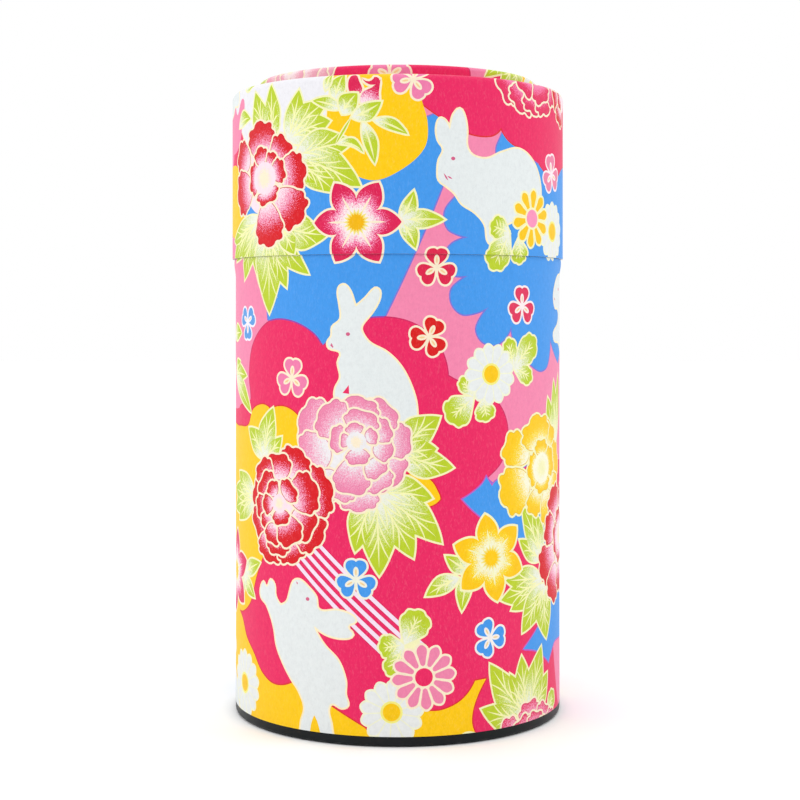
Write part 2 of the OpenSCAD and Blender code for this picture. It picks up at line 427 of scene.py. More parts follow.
# round the red peony on the lid
lay(oval(-25.6, 135.4, 3.2, 3.6), leaf_white)
spray((-33, 138), (-38.6, 150.4, 6.5, 0.8), (-32.4, 151.6, 5.5, -0.6), (-31, 147, 5))
spray((-27, 138), (-23.6, 149.6, 5.5, -0.5), (-15.4, 142, 7, 1.0), (-16, 146.5, 6, 1.2))
spray((-25, 134), (-10, 137, 7.5, 1.0), (-8.2, 127, 7.5, 1.5), (-14, 125.8, 6.5, 0.4), (-19, 128, 5))
spray((-36, 121), (-53, 116, 7, 1.2), (-53, 111, 7, -0.5), (-46.6, 106.4, 6.5, -0.8),
      (-37.4, 104, 7.5, -0.4))
spray((-33.5, 120), (-34, 98.4, 9.5, -0.6), (-28, 104.4, 6.5, -0.6), (-21.4, 107.4, 6, -1.0))
spray((-29, 119), (-20.4, 119.6, 4.5, 0.3), (-15.8, 116.4, 7, -1.2), (-25, 112, 5))
spray((-48, 143), (-41, 144.4, 3.4, 1.4), pairs=0)
spray((-44, 152), (-40, 153, 4, 0.6), pairs=1)
# round the rosebud
spray((-14.5, 146.5), (-12.2, 152.8, 3.6, 0.3), pairs=1)
spray((-12.8, 144.6), (-20, 146.8, 2.6, -0.5), pairs=0)
lay(sliver(-10.4, 142.8, -14.4, 136.2, 1.1), leaf_line)
lay(sliver(-10.6, 142.4, -14.2, 136.6, 0.5), lime)
for root, tip in (((-7.9, 141.5), (-5.1, 132, 3.0, 0.5)), ((-5.4, 141.9), (2.3, 138.6, 2.5, 0.7)),
                  ((-13.8, 136.8), (-7.6, 134.5, 1.7, 1.5))):
    spray(root, tip, fade=0.7, pairs=0)
# beside the star lily on the lid
spray((0.6, 119.4), (3.6, 126, 3.2, -0.6), (10.6, 119.6, 4, 0.2), (4, 113, 3.4, 0.6), pairs=1)
# round the pink and red peonies
spray((0, 67), (9.8, 75.2, 7, 0.8), (13, 63.6, 6.5, -0.6), (3, 73.8, 5), (9, 68, 6))
spray((-5, 58), (8, 56.8, 7, 1.0), (10.2, 46.6, 7.5, 1.2), (3.6, 43.4, 7.5, 0.6), (-4.2, 39.4, 8, 0.2),
      (-9.8, 44.6, 6.5, -0.8))
spray((-36, 64.5), (-32.6, 76.6, 6.5, 0.8), (-43.6, 71.4, 5.5, -0.8), (-29.6, 70, 4, -0.4))
spray((-40, 55), (-51, 60.4, 6.5, 0.6), (-56, 56, 6, 0.2), (-56, 51, 6, -0.4), (-51, 48.8, 6, -0.8))
spray((-46, 36.5), (-37.8, 40, 3.8, 0.3), (-40.4, 31.4, 3.4, -0.6), (-51, 30, 3.6, 0.4), pairs=1)
spray((-56, 84), (-45, 83.6, 4, 0.5), (-42.4, 75, 4.6, 1.0), (-50, 87, 4), pairs=1)
spray((-58, 93), (-49, 93.8, 4, 0.6), pairs=1)
# round the yellow star lily and the right-hand peonies
spray((17.2, 40), (15, 31, 3.6, -0.6), (11, 43.8, 3.4, 0.4), pairs=1)
spray((14.4, 38.6), (6.4, 34.8, 4, -0.6), pairs=2)
spray((40.6, 40.4), (31.6, 46, 4.5, 0.3), (32.6, 53.6, 6, -0.5), (37.4, 52.4, 5, -0.4))
spray((41, 36), (25.6, 32.6, 6.5, 0.4), (28.8, 30, 6, 0.2), (27, 37, 6))
spray((42.5, 34.5), (32.6, 24.2, 7, -0.6), (43.6, 21.2, 8, -0.8), (38, 27, 5), (46, 27.4, 4.5, -0.4))
spray((50, 66), (44.4, 78.6, 6, 0.5), (48.8, 82.6, 5.5, -0.3), (54, 84, 5))
spray((35, 4), (22.4, 18.4, 7.5, 1.2), (20, 8.4, 7, 0.8), (28.4, 15.4, 5.5, 0.4), (32.4, 19, 6.5, 0.6),
      (40.8, 20, 7.5, 0.2), (44.2, 13.2, 6.5, -0.6), (24, 2, 6))
spray((14, 1.6), (19, 2.6, 2.4), pairs=0)


def round_leaf(root, *lobes):
    """A leaf of blunt wavy lobes that share a root; each lobe is (x, y, radius). The
    veins of every lobe spread by the last lobe's radius."""
    spread = lobes[-1][2]
    shapes = []
    for x, y, r in lobes:
        away = math.dist(root, (x, y)) + r
        facing = math.degrees(math.atan2(y - root[1], x - root[0]))

        def at(along, across, away=away, facing=facing, r=r):
            """A place in the lobe, in parts of its reach and of its radius."""
            return point(*point(*root, along * away, facing), across * r, facing + 90)

        outline = curve((*at(0, 0), 1), at(0.3, -0.6), at(0.52, -0.96), at(0.66, -0.9), at(0.76, -0.98),
                        at(0.9, -0.72), at(0.94, -0.4), at(1.01, -0.16), at(1, 0.2), at(0.93, 0.42),
                        at(0.88, 0.8), at(0.75, 0.88), at(0.65, 1.0), at(0.5, 0.92), at(0.3, 0.58))
        shapes.append((outline, at, away))
    for outline, at, away in shapes:
        lay(grown(outline, 0.45), leaf_line)
    for outline, at, away in shapes:
        lay(outline, lime, lime_pale, leaf_white, root, away * 1.05, 0.12)
    for outline, at, away in shapes:
        lay(sliver(*at(0.12, 0), *at(0.86, 0.06, r=spread), 0.42), vein)
        for start in (0.3, 0.46, 0.62):
            for side in (-1, 1):
                end = at(start + 0.2, side * (0.74 - 0.4 * start), r=spread)
                lay(sliver(*at(start, 0), *end, 0.32), vein)


round_leaf((27.5, 117), (24.6, 118, 2.6), (24.4, 111.6, 3.3))
round_leaf((30.5, 116), (31, 112.6, 2.5))
round_leaf((18, 79.5), (14.4, 76.6, 3.5), (16, 82.4, 1.8))
round_leaf((20.5, 79), (21, 76.6, 2.6))
round_leaf((29.6, 86), (35.4, 90.6, 3.2), (28.4, 90.6, 2.1), (34.4, 84, 2.1))
lay(oval(2.6, 24, 2.8, 2.4, 60), leaf_line)
round_leaf((1.5, 24), (3.8, 28.4, 3.4), (-1.6, 23.6, 2.6), (-1, 19.2, 2.2))
round_leaf((44, 3), (47, 6, 2.4))


# ---------------------------------------------------------------- print: peonies
# Round heads of scalloped petals. Each petal is solid ink at its rim and is sprayed
# through pink to bare paper at its root, with a cream line all round.
def petal(x, y, facing, rim, wide, deep, lobes, frill):
    """A petal whose rim is at a distance from the flower's middle (x, y)."""
    count = 10 * lobes + 10
    t = 2 * math.pi * (np.arange(count) + 0.5) / count - math.pi
    rounding = 0.78
    u = np.sign(np.cos(t)) * np.abs(np.cos(t)) ** rounding * deep / 2
    v = np.sign(np.sin(t)) * np.abs(np.sin(t)) ** rounding * wide / 2
    front = np.clip(np.cos(t), 0, 1) ** 0.4
    scallop = np.abs(np.sin(lobes * (t + math.pi / 2))) - 0.85
    bulge = frill * front * scallop
    out = rim - deep / 2 + u + bulge * np.cos(t)
    angle = math.radians(facing) + (v + bulge * np.sin(t)) / (rim - 0.4 * deep)
    return np.stack([x + out * np.cos(angle), y + out * np.sin(angle)], 1)


def peony(x, y, petals, edge, middle, heart, line=cream, core=2.2, frill=0.09, spread=1.0):
    """A head of petals, outermost first; each petal is (facing, rim, wide, deep). The
    wider a petal is, the more lobes its rim has."""
    line_wide = 0.42
    under = 0.55 * petals[0][1]
    lay(oval(x, y, under, under), heart)
    for facing, rim, wide, deep in petals:
        lobes = 2 if wide < 4 else 3 if wide < 6 else 4 if wide < 9.5 else 5
        shape = petal(x, y, facing, rim, wide, deep, lobes, frill * (wide + 2.2))
        lay(grown(shape, line_wide), line)
        lay(grown(shape, -0.05), tuple(0.8 * c for c in edge))
        root = (rim - 0.95 * deep) / rim / spread
        lay(grown(shape, -0.22), edge, middle, heart, (x, y), spread * rim, root)
    lay(oval(x, y, core, core * 0.9), heart, line, line, (x, y), core)


peony_red = ink(218, 14, 28)
peony_pink = ink(243, 140, 176)
petal_white = ink(252, 226, 236)
lid_red_petals = [
    (152, 15.6, 8, 8.5), (195, 14.8, 11, 9.5), (100, 13.6, 11, 9), (47, 11.8, 7.5, 7),
    (5, 13.4, 9.5, 8), (320, 16, 10, 10.5), (278, 16.2, 10, 11), (178, 6.6, 9, 3.2),
    (105, 7.6, 5.4, 4.4), (55, 6.8, 4.4, 4), (15, 7.6, 6, 4.6), (286, 6.6, 9.4, 3.2)]
peony(-35, 130, lid_red_petals, peony_red, peony_pink, petal_white, core=4.2)

pink_petals = [
    (160, 15.6, 12, 10), (195, 15.4, 10.5, 9), (236, 15.4, 8, 7), (272, 15.8, 10, 6),
    (318, 13.4, 11, 7), (2, 12.8, 8, 7), (47, 11.6, 9, 7), (92, 10.4, 11.5, 7), (140, 11.4, 10, 8),
    (300, 12.6, 7.6, 5), (250, 14.2, 8, 5), (262, 12.2, 8.8, 9), (308, 9.6, 6, 4.6),
    (345, 8.8, 5.4, 4.8), (24, 8.8, 6, 5), (76, 7.6, 9, 5), (172, 6.6, 6.4, 5), (275, 5.4, 6, 4),
    (20, 5.2, 4, 3), (100, 4.4, 4.6, 2.8), (175, 4.0, 3.4, 2.4)]
peony_soft = (ink(238, 134, 172), ink(244, 176, 202), ink(240, 238, 240))
peony(-9.5, 69.5, pink_petals, *peony_soft, core=2.4, frill=0.06, spread=1.2)

red_petals = [
    (174, 11, 9.5, 6.5), (215, 12, 9, 6.5), (253, 14.4, 10, 6.5), (290, 14.2, 9.5, 5.5),
    (328, 14.8, 10.5, 7.5), (17, 15.9, 12.5, 7.5), (63, 14.4, 9.5, 7.5), (93, 11.8, 9, 6.5),
    (129, 12, 7.5, 6.5), (267, 12.2, 8, 5), (331, 12, 9, 7.5), (20, 12.2, 10, 8.5),
    (143, 9, 8.4, 6), (191, 9.2, 6, 5), (230, 8.6, 6.2, 4.6), (254, 10, 6.4, 5), (297, 10.4, 8, 8),
    (45, 6.6, 6.6, 4.4), (125, 5.8, 4.8, 3.8), (187, 6.2, 4.8, 4.2), (280, 5.2, 6.2, 3.8)]
peony(-30.5, 54.5, red_petals, peony_red, peony_pink, petal_white, core=2.4, frill=0.07)

yellow_petals = [
    (60, 12, 9, 7), (0, 12.4, 12.5, 8), (322, 12.4, 9, 7), (155, 16, 8.4, 9.5), (105, 13, 13.5, 8),
    (202, 16.6, 11.6, 10.5), (247, 11.8, 6.4, 6.5), (290, 14.8, 8.6, 9.5), (185, 6.4, 9.6, 3.2),
    (92, 7, 6.4, 4.4), (15, 7.6, 7.6, 5.4), (280, 6.2, 8.4, 3.2)]
peony(41, 62, yellow_petals, ink(252, 202, 0), ink(250, 220, 60), ink(250, 248, 222), leaf_line, core=4)

edge_petals = [
    (124, 14.4, 9.5, 9), (207, 16.6, 10, 10.5), (240, 17, 9, 9.5), (165, 13, 8, 7),
    (280, 14, 11, 8), (60, 13, 11, 8), (10, 14, 12, 8), (325, 14, 11, 8), (186, 6.8, 9, 3.2),
    (100, 7, 7, 4), (30, 7.2, 7, 5), (280, 6.8, 9, 3.6)]
peony(55, 44.5, edge_petals, peony_red, peony_pink, petal_white, core=4)

peony_rose = ink(222, 30, 84)
foot_petals = [
    (200, 13, 10, 8), (240, 13, 10, 8), (285, 13, 11, 8), (330, 13, 9, 7), (0, 12, 8, 7),
    (210, 8, 7, 5), (270, 8, 8, 5), (330, 8, 7, 5), (146, 14.6, 9, 7), (98, 13.4, 8.5, 6.5),
    (60, 12.8, 7.5, 6), (30, 14, 8, 6), (120, 11, 7.5, 5.5), (80, 10.4, 7.5, 5.5), (45, 10, 7, 5),
    (140, 8.6, 7, 5), (100, 6.6, 7, 5), (50, 6.4, 6, 4)]
peony(37, -5, foot_petals, ink(232, 44, 98), peony_pink, petal_white, spread=1.25)

top_petals = [
    (213, 14.6, 9, 7), (240, 13.2, 10, 6), (268, 12, 10, 5.6), (297, 12.4, 10, 6), (330, 13, 9, 6),
    (160, 13, 10, 7), (110, 13, 12, 8), (60, 13, 12, 8), (15, 13, 10, 7), (170, 8, 7, 5),
    (120, 8.4, 8, 5), (60, 8.4, 8, 5), (10, 8.6, 7, 5), (340, 8.4, 6, 5), (200, 8, 6, 5),
    (235, 9, 7.5, 5.4), (290, 9.6, 8, 6), (90, 4.8, 5.4, 3.4), (210, 4.6, 4.6, 3),
    (320, 4.8, 4.8, 3)]
peony(37, 156.8, top_petals, ink(230, 44, 96), ink(247, 120, 168), peony_pink)
far_petals = [(200, 8.6, 7, 5), (245, 8.8, 7, 5), (150, 8.8, 7, 5), (220, 5, 5, 3.4)]
peony(54, 152, far_petals, peony_red, peony_pink, petal_white)


# ---------------------------------------------------------------- print: rosebud
# One half-open bud in green sepals, at the top of the yellow cloud.
bud_left = curve((-10.8, 151.6, 1), (-9.6, 152.4), (-8.6, 150.6), (-8, 148.4), (-10.4, 147.6))
bud_top = curve((-8, 151.4, 1), (-6.4, 150.6), (-5.2, 151.6, 1), (-4, 150.6), (-6, 149.8))
bud_right = curve((-3.8, 151, 1), (-4.2, 148), (-4.4, 145.8), (-8, 145.6), (-8, 148), (-5.8, 149.2))
for bud in (bud_left, bud_top, bud_right):
    lay(grown(bud, 0.5), cream)
for bud in (bud_left, bud_top, bud_right):
    lay(bud, peony_rose, peony_pink, petal_white, (-7.4, 144.6), 6.6, 0.2)
spray((-12.6, 143.4), (-9, 148, 4.6, 0.6), pairs=1)
spray((-10.4, 142.6), (-3.6, 146, 3.8, -0.6), pairs=1)
spray((-16.6, 149), (-15.4, 153.2, 1.6), pairs=0)


# ---------------------------------------------------------------- print: star lilies
# Six pointed petals round a burst of yellow, with a cream ray down each petal.
burst_rim = ink(244, 226, 120)


def star_lily(x, y, size, turn, edge, middle, heart, burst, line=cream):
    """A star lily with its first petal at turn degrees."""
    tips = [turn + 60 * k for k in range(6)]
    waist, shoulder = 0.52 * size, 0.62 * size + 0.14 * size
    blades = []
    for tip in tips:
        blades.append(curve((*point(x, y, 0.1 * size, tip), 1), point(x, y, waist, tip - 30),
                            point(x, y, shoulder, tip - 19), (*point(x, y, size, tip), 1),
                            point(x, y, shoulder, tip + 19), point(x, y, waist, tip + 30)))
    for b in blades:
        lay(grown(b, 0.5), line)
    for b, tip in zip(blades, tips):
        lay(b, edge, middle, heart, (x, y), 0.95 * size, 0.3, 1.7, tip)
    for tip in tips:
        lay(sliver(*point(x, y, 0.2 * size, tip), *point(x, y, 0.66 * size, tip), 0.5), line)
    rays = 18
    for dip, peak, colour in ((0.2, 0.3, burst_rim), (0.16, 0.21, burst)):
        lay([point(x, y, size * (dip if k % 2 else peak), 180 * k / rays + turn)
             for k in range(2 * rays)], colour)
    lay(oval(x, y, 0.155 * size, 0.155 * size), burst)


star_lily(-9.3, 119, 10.2, 0, ink(222, 28, 84), ink(247, 130, 178), ink(250, 238, 236),
          ink(244, 184, 0))
star_lily(22.8, 42.6, 10.2, 40, ink(253, 200, 0), ink(250, 222, 40), ink(246, 246, 216), yellow,
          leaf_line)
star_lily(-55, 36, 10.5, 20, ink(226, 40, 96), ink(247, 130, 178), ink(250, 238, 236), yellow)


# ---------------------------------------------------------------- print: clover blooms
# Small blooms of three two-lobed petals, each with a cream stamen.
stamen_gold = ink(244, 208, 150)


def clover(x, y, size, turn, colour, line=cream):
    """A clover bloom with its first petal at turn degrees."""
    def heart_petal(facing, fat):
        """The outline of one petal, grown by fat."""
        def at(out, across):
            return point(*point(x, y, out * size, facing), across * size, facing + 90)

        outline = curve((*at(0.06, 0), 1), at(0.28, -0.34), at(0.58, -0.55), at(0.86, -0.47),
                        at(0.96, -0.2), (*at(0.89, 0), 1), at(0.96, 0.2), at(0.86, 0.47),
                        at(0.58, 0.55), at(0.28, 0.34))
        return grown(outline, fat)

    turns = [turn + 120 * k for k in range(3)]
    for facing in turns:
        lay(heart_petal(facing, 0.32), line)
    for facing in turns:
        lay(heart_petal(facing, -0.16), colour)
    for facing in turns:
        stamen = point(x, y, 0.36 * size, facing)
        lay(oval(*stamen, 0.26 * size, 0.14 * size, facing, 16), line)
        lay(oval(*stamen, 0.15 * size, 0.045 * size, facing, 12), stamen_gold)
    lay(oval(x, y, 0.15 * size, 0.15 * size, count=12), line)


clover_pink = ink(240, 126, 172)
clover(3.4, 151, 4.8, 190, clover_pink)
clover(8.9, 108.8, 4.7, 90, ink(222, 30, 74))
clover(7.2, 93.2, 4.6, 65, ink(218, 22, 22))
clover(-26.4, 83.6, 4.7, 85, clover_pink)
clover(-44.4, 96.4, 4.3, 30, ink(92, 158, 226), ink(244, 240, 250))
clover(32.6, 100.2, 4.7, 90, ink(224, 50, 92), ink(250, 236, 236))
clover(44.8, 131.6, 4.8, 100, ink(238, 132, 166), ink(252, 236, 240))
clover(-9.6, 38.4, 4.8, 90, blue, ink(240, 240, 222))
clover(22.4, 24.4, 4.5, 120, blue, ink(244, 240, 236))


# ---------------------------------------------------------------- print: chrysanthemums and daisies
# Rings of narrow petals round a flat disc. The daisies are bare paper, drawn only by
# the cream line between their petals.
def petal_bar(x, y, size, facing, half):
    """The outline of one narrow petal, half wide to each side."""
    def at(out, across):
        return point(*point(x, y, out, facing), across, facing + 90)

    return curve(at(0.34 * size, 0), at(0.62 * size, -0.74 * half), at(0.86 * size, -half),
                 at(size, -0.3 * half), at(size, 0.3 * half), at(0.86 * size, half),
                 at(0.62 * size, 0.74 * half), step=0.9)


def rayed(x, y, size, count, turn, colour, line, disc, disc_size, ring=None, plump=1.0):
    """A flower of count narrow petals round a disc; plump widens the petals."""
    widest, filled = 0.66, 0.82
    half = plump * math.pi * widest * size / count * filled
    facings = [turn + 360 * k / count for k in range(count)]
    for facing in facings:
        lay(grown(petal_bar(x, y, size, facing, half), 0.5), line)
    lay(oval(x, y, 0.6 * size, 0.6 * size), line)
    for facing in facings:
        lay(petal_bar(x, y, size, facing, half), colour)
    lay(oval(x, y, disc_size + 0.55, disc_size + 0.5), ring or line)
    lay(oval(x, y, disc_size, disc_size), disc)


disc_yellow = ink(250, 200, 0)
daisy_white = ink(233, 237, 236)
daisy_line = ink(241, 243, 214)


def daisy(x, y, size, count, turn):
    """A white daisy with a yellow disc."""
    rayed(x, y, size, count, turn, daisy_white, daisy_line, disc_yellow, 2.0, ink(247, 240, 130), 1.32)


daisy(45.4, 118, 6.6, 13, 8)
daisy(22.8, 84.6, 6.6, 13, 15)
daisy(-1.4, 8.8, 6.9, 13, 4)
daisy(-46.4, 10.2, 7.6, 14, 12)
rayed(6, 16.6, 7.2, 12, 5, ink(240, 134, 172), cream, rose, 2.05, plump=1.16)
rayed(35.4, 120.6, 6.6, 10, 12, disc_yellow, leaf_line, ink(249, 148, 188), 2.1)


# ---------------------------------------------------------------- paper sheets
# Thin washi, printed flat, cut to size and pasted round the tin. A sheet is modelled
# the same way: a flat plane is cut along every printed outline, closed to a sheet
# with an edge and a back, and only then bent to its place.
mm = 0.001
paper_thick = 0.2
bare_paper = ink(240, 236, 226)
# marks for faces that no shape is printed on: the ground colour, and the unprinted back
plain_ground, plain_back = -1, -2
hair = 1e-4
same_ink = 1e-6


def triangles_of(corners, cuts, box):
    """Cuts the plane along straight cuts between numbered corners."""
    found = delaunay_2d_cdt([Vector(c) for c in corners], cuts, [], 0, hair, False)
    spots = np.array([tuple(v) for v in found[0]])
    faces = np.array([tuple(f) for f in found[2]])
    return spots, faces[box(spots[faces].mean(1))]


def shape_on_top(shapes, middles, ground):
    """For each place in the flat, the number of the shape that is printed on top there."""
    order = np.argsort(middles[:, 0])
    sorted_x = middles[order, 0]
    top = np.full(len(middles), plain_ground)
    shown = np.tile(ground, (len(middles), 1))
    for number, (outline, inks, *_, keep_off) in enumerate(shapes):
        low, high = outline.min(0), outline.max(0)
        near = order[np.searchsorted(sorted_x, low[0]):np.searchsorted(sorted_x, high[0])]
        near = near[(middles[near, 1] > low[1]) & (middles[near, 1] < high[1])]
        if len(near) == 0:
            continue
        px, py = middles[near, 0], middles[near, 1]
        winding = np.zeros(len(near), int)
        for (x0, y0), (x1, y1) in zip(outline, np.roll(outline, -1, 0)):
            side = (x1 - x0) * (py - y0) - (px - x0) * (y1 - y0)
            winding += ((y0 <= py) & (y1 > py) & (side > 0)).astype(int)
            winding -= ((y0 > py) & (y1 <= py) & (side < 0)).astype(int)
        printed = near[winding != 0]
        for covered in keep_off:
            printed = printed[np.abs(shown[printed] - covered).max(1) > same_ink]
        top[printed] = number
        shown[printed] = inks[2]
    return top


def cut_flat(shapes, edges, box, ground):
    """Cuts the plane along the outlines and edges. Gives the corners, the triangles
    and, for each triangle, the number of the shape that is printed on top of it. A
    second cut follows only the outlines that show, so that covered ones leave no trace."""
    corners, cuts = [], []
    for a, b in edges:
        cuts.append((len(corners), len(corners) + 1))
        corners.extend((a, b))
    frame_corners, frame_cuts = list(corners), list(cuts)
    for outline, *_ in shapes:
        first = len(corners)
        corners.extend(outline)
        cuts.extend((first + k, first + (k + 1) % len(outline)) for k in range(len(outline)))
    spots, faces = triangles_of(corners, cuts, box)
    top = shape_on_top(shapes, spots[faces].mean(1), ground)

    sides = np.sort(faces[:, [0, 1, 1, 2, 2, 0]].reshape(-1, 2), axis=1)
    owner = np.repeat(top, 3)
    order = np.lexsort((sides[:, 1], sides[:, 0]))
    sides, owner = sides[order], owner[order]
    shared = (sides[:-1] == sides[1:]).all(1) & (owner[:-1] != owner[1:])
    shows = sides[:-1][shared]
    used, shows = np.unique(shows, return_inverse=True)
    shows = shows.reshape(-1, 2) + len(frame_corners)
    spots, faces = triangles_of(frame_corners + spots[used].tolist(), frame_cuts + shows.tolist(), box)
    return spots, faces, shape_on_top(shapes, spots[faces].mean(1), ground)


def pasted_sheet(name, shapes, edges, box, bend, ground, cuts_behind):
    """A closed, printed sheet. bend takes flat places x, y and a height above the
    tin, in millimetres, and gives the places in space. edges are the straight cuts on
    the printed side, and cuts_behind are the places and directions of those behind."""
    spots, faces, top = cut_flat(shapes, edges, box, ground)
    used, faces = np.unique(faces, return_inverse=True)
    faces = faces.reshape(-1, 3)
    spots = spots[used]
    flat = bpy.data.meshes.new(name)
    flat.from_pydata([(x, y, 0.0) for x, y in spots], [], faces.tolist())
    sheet = bmesh.new()
    sheet.from_mesh(flat)
    printed = sheet.faces.layers.int.new("printed")
    for face, number in zip(sheet.faces, top):
        face[printed] = int(number)
    if sum(f.normal.z for f in sheet.faces) < 0:
        bmesh.ops.reverse_faces(sheet, faces=sheet.faces[:])
    rim = [e for e in sheet.edges if e.is_boundary]
    for e in rim:
        e.smooth = False
    grown_rim = bmesh.ops.extrude_edge_only(sheet, edges=rim)["geom"]
    back_corners = [g for g in grown_rim if isinstance(g, bmesh.types.BMVert)]
    back_edges = [g for g in grown_rim if isinstance(g, bmesh.types.BMEdge) and g.is_boundary]
    walls = [g for g in grown_rim if isinstance(g, bmesh.types.BMFace)]
    bmesh.ops.translate(sheet, verts=back_corners, vec=(0.0, 0.0, -paper_thick))
    back = bmesh.ops.edgeloop_fill(sheet, edges=back_edges)["faces"]
    for face in walls + back:
        face[printed] = plain_back
    for place, across in cuts_behind:
        behind = [f for f in sheet.faces if f[printed] == plain_back and abs(f.normal.z) > 0.5]
        around = dict.fromkeys([e for f in behind for e in f.edges] + [v for f in behind for v in f.verts])
        bmesh.ops.bisect_plane(sheet, geom=behind + list(around), plane_co=(*place, 0.0),
                               plane_no=(*across, 0.0))
    bmesh.ops.triangulate(sheet, faces=[f for f in sheet.faces if len(f.verts) > 4])
    bmesh.ops.recalc_face_normals(sheet, faces=[f for f in sheet.faces if f[printed] == plain_back])
    sheet.to_mesh(flat)
    sheet.free()

    corners = np.zeros(len(flat.vertices) * 3)
    flat.vertices.foreach_get("co", corners)
    corners = corners.reshape(-1, 3)
    corner_of = np.zeros(len(flat.loops), int)
    flat.loops.foreach_get("vertex_index", corner_of)
    number_of = np.zeros(len(flat.polygons), int)
    flat.attributes["printed"].data.foreach_get("value", number_of)
    sides = np.zeros(len(flat.polygons), int)
    flat.polygons.foreach_get("loop_total", sides)
    number_of = np.repeat(number_of, sides)

    # the two plain rows come last, where their negative numbers find them
    plain = [(None, (colour,) * 3, (0.0, 0.0), 1.0, 0.0, 1.0, 0.0) for colour in (bare_paper, ground)]
    inks, spot, reach, start, squeeze, turn = (
        np.array(column)[number_of] for column in zip(*(row[1:7] for row in shapes + plain)))
    away = corners[corner_of, :2] - spot
    turn = np.radians(turn)
    along = away[:, 0] * np.cos(turn) + away[:, 1] * np.sin(turn)
    across = (away[:, 1] * np.cos(turn) - away[:, 0] * np.sin(turn)) * squeeze
    bloom = np.stack([along / reach, across / reach, start], 1)
    flat.attributes.new("bloom", "FLOAT_VECTOR", "CORNER").data.foreach_set("vector", bloom.ravel())
    for k, word in enumerate(("ink_heart", "ink_middle", "ink_edge")):
        rgba = np.concatenate([inks[:, k], np.ones((len(inks), 1))], 1)
        flat.attributes.new(word, "FLOAT_COLOR", "CORNER").data.foreach_set("color", rgba.ravel())

    x, y, h = corners.T
    nudge = 0.01
    outward = np.cross(bend(x + nudge, y, h) - bend(x - nudge, y, h),
                       bend(x, y + nudge, h) - bend(x, y - nudge, h))
    outward /= np.linalg.norm(outward, axis=1, keepdims=True)
    flat.vertices.foreach_set("co", (bend(x, y, h) * mm).ravel())
    flat.update()
    flat.shade_smooth()
    normals = outward[corner_of]
    hidden = number_of == plain_back
    own = np.zeros(len(flat.polygons) * 3)
    flat.polygons.foreach_get("normal", own)
    normals[hidden] = np.repeat(own.reshape(-1, 3), sides, axis=0)[hidden]
    flat.normals_split_custom_set(normals.tolist())
    piece = bpy.data.objects.new(name, flat)
    bpy.context.scene.collection.objects.link(piece)
    return piece


# ---------------------------------------------------------------- washi
# Matte fibrous paper. Each printed shape brings its three inks and its fade as
# attributes; the fade is broken into fine sprayed dots, and long pale fibres and a
# slight unevenness of the ink lie over everything.
def add(tree, kind, **settings):
    """A new node. A setting is one of its properties or, by socket name, an input's
    value or the output that is linked to that input."""
    node = tree.nodes.new(kind)
    for key, value in settings.items():
        socket = key.replace("_", " ")
        if hasattr(node, key):
            setattr(node, key, value)
        elif isinstance(value, bpy.types.NodeSocket):
            tree.links.new(value, node.inputs[socket])
        else:
            node.inputs[socket].default_value = value
    return node


def noise(tree, places, scale, detail, **settings):
    """A noise texture over places, scale times to the metre."""
    return add(tree, "ShaderNodeTexNoise", Vector=places, Scale=scale, Detail=detail,
               **settings).outputs["Fac"]


def stretched(tree, places, up):
    """The places with their height multiplied, so that a pattern runs along or across."""
    return add(tree, "ShaderNodeMapping", Vector=places, Scale=(1.0, 1.0, up)).outputs["Vector"]


def band(tree, value, low, high):
    """A smooth step of value from 0 at low to 1 at high."""
    return add(tree, "ShaderNodeMapRange", interpolation_type="SMOOTHSTEP", Value=value,
               From_Min=low, From_Max=high).outputs["Result"]


def maths(tree, operation, a, b):
    """Two numbers or outputs, joined by an operation."""
    node = add(tree, "ShaderNodeMath", operation=operation)
    for socket, value in zip(node.inputs, (a, b)):
        if isinstance(value, (int, float)):
            socket.default_value = value
        else:
            tree.links.new(value, socket)
    return node.outputs[0]


def scaled(tree, value, by, plus=0.0):
    """An output times a number, with another number added."""
    product = maths(tree, "MULTIPLY", value, by)
    return maths(tree, "ADD", product, plus) if plus else product


def blend(tree, factor, a, b, mode="MIX"):
    """Colour b laid over colour a."""
    mix = add(tree, "ShaderNodeMix", data_type="RGBA", blend_type=mode)
    for socket, value in ((mix.inputs[0], factor), (mix.inputs[6], a), (mix.inputs[7], b)):
        if isinstance(value, (int, float, tuple)):
            socket.default_value = value
        else:
            tree.links.new(value, socket)
    return mix.outputs[2]


def emboss(tree, shader, height, strength, depth):
    """A fine relief, depth metres deep."""
    bump = add(tree, "ShaderNodeBump", Strength=strength, Distance=depth, Height=height)
    tree.links.new(bump.outputs["Normal"], shader.inputs["Normal"])


washi = bpy.data.materials.new("printed_washi")
tree, shader = nodes_of(washi)
places = add(tree, "ShaderNodeTexCoord").outputs["Object"]
bloom = add(tree, "ShaderNodeAttribute", attribute_name="bloom").outputs["Vector"]
parts = add(tree, "ShaderNodeSeparateXYZ", Vector=bloom).outputs
level = add(tree, "ShaderNodeCombineXYZ", X=parts["X"], Y=parts["Y"]).outputs["Vector"]
away = add(tree, "ShaderNodeVectorMath", operation="LENGTH", Vector=level).outputs["Value"]
start = parts["Z"]
fade = maths(tree, "DIVIDE", maths(tree, "SUBTRACT", away, start), maths(tree, "SUBTRACT", 1.0, start))
dots = noise(tree, places, 4600.0, 1.0)
spray_depth = 1.15
sprayed = maths(tree, "ADD", fade, scaled(tree, maths(tree, "SUBTRACT", dots, 0.5), spray_depth))
heart, middle_ink, edge_ink = (add(tree, "ShaderNodeAttribute", attribute_name=word).outputs["Color"]
                               for word in ("ink_heart", "ink_middle", "ink_edge"))
colour = blend(tree, band(tree, sprayed, 0.1, 0.4), heart, middle_ink)
colour = blend(tree, band(tree, sprayed, 0.44, 0.58), colour, edge_ink)
cloudy = noise(tree, places, 900.0, 6.0, Roughness=0.7)
